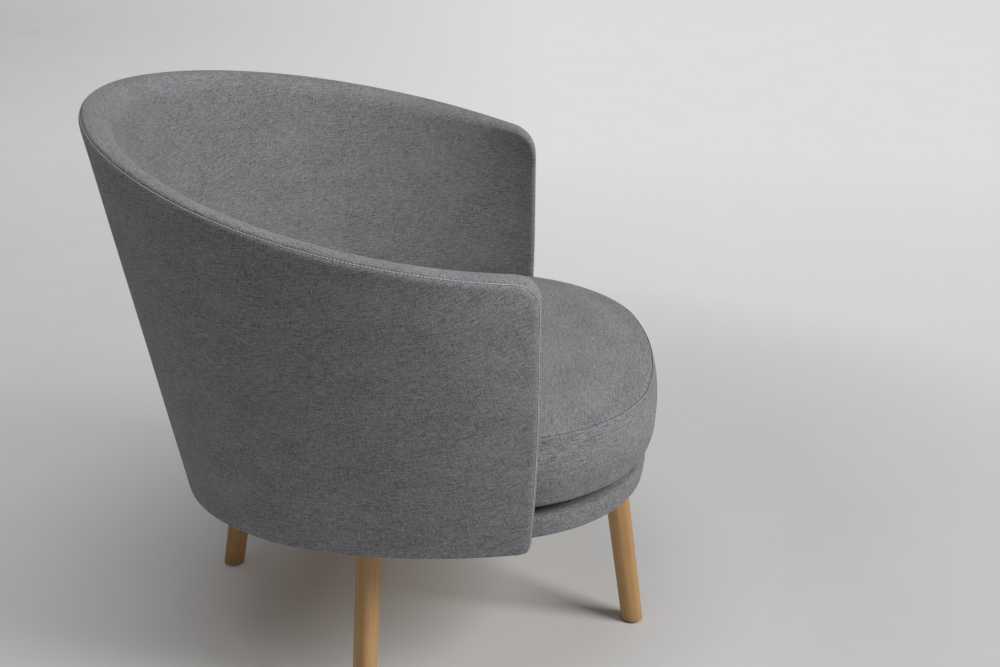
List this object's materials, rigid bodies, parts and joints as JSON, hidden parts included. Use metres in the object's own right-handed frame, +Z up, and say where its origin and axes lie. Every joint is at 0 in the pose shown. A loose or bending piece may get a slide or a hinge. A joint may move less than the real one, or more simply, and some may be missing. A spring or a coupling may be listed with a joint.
{
  "type": "swivel lounge chair",
  "caption": "Upholstered tub lounge chair whose curved arm and back shell and round seat cushion turn on splayed round wooden legs.",
  "frame": {"origin": "on the floor, below the middle of the chair's own bounding box", "axes": "+Z up; the sitter faces -Y, so the back of the shell is at +Y; +X to the sitter's left, across the arms. The legs stand turned on the swivel as pictured."},
  "size_m": [0.8047, 0.7347, 0.7145],
  "materials": {
    "fabric": "woven upholstery fabric in a mid-grey melange with darker and lighter slubs, matt",
    "foam": "cut polyurethane foam, pale cream, open cells",
    "plywood": "birch plywood, raw, layered edges",
    "oak": "solid oak, turned, clear matt lacquer, grain along the leg",
    "steel": "pressed steel sheet, black powder coat",
    "zinc_steel": "zinc-plated steel",
    "glide_plastic": "dark brown moulded plastic glide",
    "slide_plastic": "natural white acetal, smooth",
    "spacer_plastic": "black moulded nylon",
    "zip_tape": "dark grey woven tape with closed coil teeth",
    "zip_metal": "dark lacquered zinc slider"
  },
  "bodies": {
    "leg_base": {"leg_front": "oak", "leg_rear": "oak", "leg_left": "oak", "leg_right": "oak", "leg_plate": "plywood", "leg_inserts": "zinc_steel", "leg_bolts": "zinc_steel", "floor_glides": "glide_plastic", "swivel_lower_plate": "steel", "swivel_lower_screws": "zinc_steel", "swivel_rivet": "zinc_steel", "slide_ring": "slide_plastic"},
    "seat": {"swivel_upper_plate": "steel", "swivel_upper_screws": "zinc_steel", "seat_board": "plywood", "seat_ring": "plywood", "seat_base_cover": "fabric", "cushion_core": "foam", "cushion_cover": "fabric", "cushion_zip": "zip_tape", "zip_slider": "zip_metal", "shell_core": "plywood", "shell_inner_cover": "fabric", "shell_outer_cover": "fabric", "shell_bolts": "zinc_steel", "shell_inserts": "zinc_steel", "shell_spacers": "spacer_plastic"}
  },
  "joints": [
    {"name": "seat_swivel", "type": "hinge", "parent": "leg_base", "child": "seat", "pos_m": [0, -0.05731, 0.2695], "axis": [0, 0, 1], "continuous": true}
  ]
}
